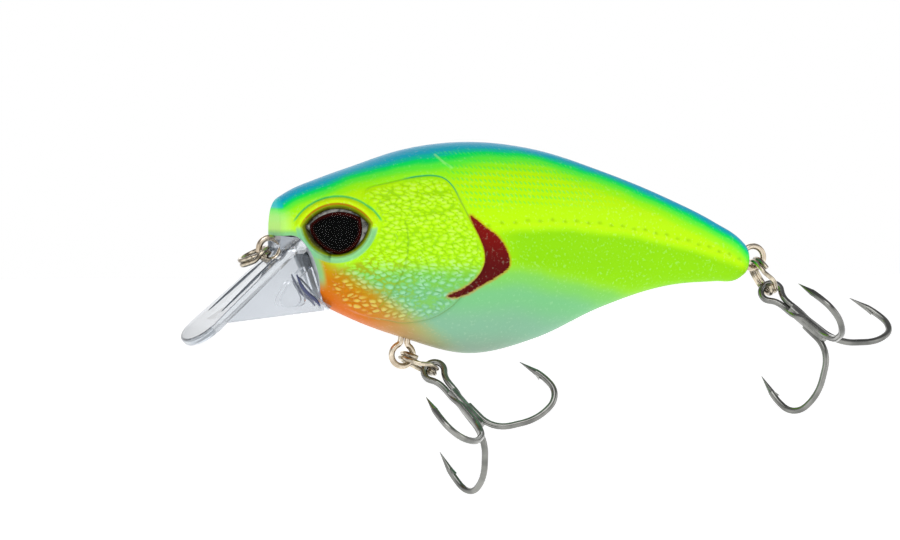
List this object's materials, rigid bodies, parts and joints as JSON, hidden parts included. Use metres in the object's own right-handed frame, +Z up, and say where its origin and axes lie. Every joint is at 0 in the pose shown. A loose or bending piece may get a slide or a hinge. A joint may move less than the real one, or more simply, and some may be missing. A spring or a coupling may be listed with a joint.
{
  "type": "crankbait lure",
  "caption": "Squarebill crankbait: hollow painted split-shell fish body with a clear diving lip, domed eyes, wire hangers, split rings and treble hooks.",
  "frame": {"origin": "centre of the line tie's eye, in the middle plane, where the angler's line or snap is tied", "axes": "+X from the nose to the tail along the body's length, +Y towards the fish's right side, +Z up towards the back"},
  "size_m": [0.0959, 0.025, 0.0459],
  "materials": {
    "painted_shell": "clear-coated blue, green, chartreuse and orange airbrush paint",
    "clear_plastic": "clear moulded polycarbonate",
    "eye_lens": "clear domed resin",
    "eye_foil": "bright foil",
    "pupil": "glossy black with a dark red rim",
    "hanger_wire": "drawn stainless wire",
    "ring_steel": "polished spring wire",
    "hook_steel": "black nickel plated",
    "hook_braze": "plated braze",
    "ballast": "cast weight",
    "rattle_steel": "polished bearing ball"
  },
  "bodies": {
    "lure": {"left_shell": "painted_shell", "right_shell": "painted_shell", "diving_lip": "clear_plastic", "line_tie": "hanger_wire", "belly_hanger": "hanger_wire", "tail_hanger": "hanger_wire", "left_eye_iris": "eye_foil", "left_eye_pupil": "pupil", "left_eye_lens": "eye_lens", "right_eye_iris": "eye_foil", "right_eye_pupil": "pupil", "right_eye_lens": "eye_lens", "belly_ballast": "ballast"},
    "nose_ring": {"nose_split_ring": "ring_steel"},
    "belly_ring": {"belly_split_ring": "ring_steel"},
    "tail_ring": {"tail_split_ring": "ring_steel"},
    "belly_treble": {"belly_double_hook": "hook_steel", "belly_single_hook": "hook_steel", "belly_braze": "hook_braze"},
    "tail_treble": {"tail_double_hook": "hook_steel", "tail_single_hook": "hook_steel", "tail_braze": "hook_braze"},
    "knocker": {"knocker_ball": "rattle_steel"},
    "rattle_1": {"rattle_ball_1": "rattle_steel"},
    "rattle_2": {"rattle_ball_2": "rattle_steel"},
    "rattle_3": {"rattle_ball_3": "rattle_steel"}
  },
  "joints": [
    {"name": "nose_ring_swing", "type": "hinge", "parent": "lure", "child": "nose_ring", "pos_m": [0, 0, 0], "axis": [0, 1, 0], "range_deg": [-8, 100]},
    {"name": "belly_ring_swing", "type": "hinge", "parent": "lure", "child": "belly_ring", "pos_m": [0.01795, 0, -0.01385], "axis": [0, 1, 0], "range_deg": [-3, 115]},
    {"name": "tail_ring_swing", "type": "hinge", "parent": "lure", "child": "tail_ring", "pos_m": [0.0664, 0, -0.0014], "axis": [0, 1, 0], "range_deg": [-100, 45]},
    {"name": "belly_hook_swing", "type": "hinge", "parent": "belly_ring", "child": "belly_treble", "pos_m": [0.02017, 0, -0.01496], "axis": [0.4478, 0, 0.8942], "range_deg": [-35, 50]},
    {"name": "tail_hook_swing", "type": "hinge", "parent": "tail_ring", "child": "tail_treble", "pos_m": [0.06781, 0, -0.00391], "axis": [0.8729, 0, 0.4879], "range_deg": [-50, 50]},
    {"name": "knocker_roll", "type": "slide", "parent": "lure", "child": "knocker", "axis": [1, 0, 0], "range_m": [-0.0032, 0.0032]},
    {"name": "rattle_2_roll", "type": "slide", "parent": "lure", "child": "rattle_2", "axis": [0, 1, 0], "range_m": [-0.0017, 0.0017]},
    {"name": "rattle_1_roll", "type": "slide", "parent": "lure", "child": "rattle_1", "axis": [0, 1, 0], "range_m": [-0.0017, 0.0017]},
    {"name": "rattle_3_roll", "type": "slide", "parent": "lure", "child": "rattle_3", "axis": [0, 1, 0], "range_m": [-0.0017, 0.0017]}
  ],
  "couplings": [
    {"joint": "rattle_1_roll", "follows": "rattle_2_roll", "ratio": 1},
    {"joint": "rattle_3_roll", "follows": "rattle_2_roll", "ratio": 1}
  ]
}
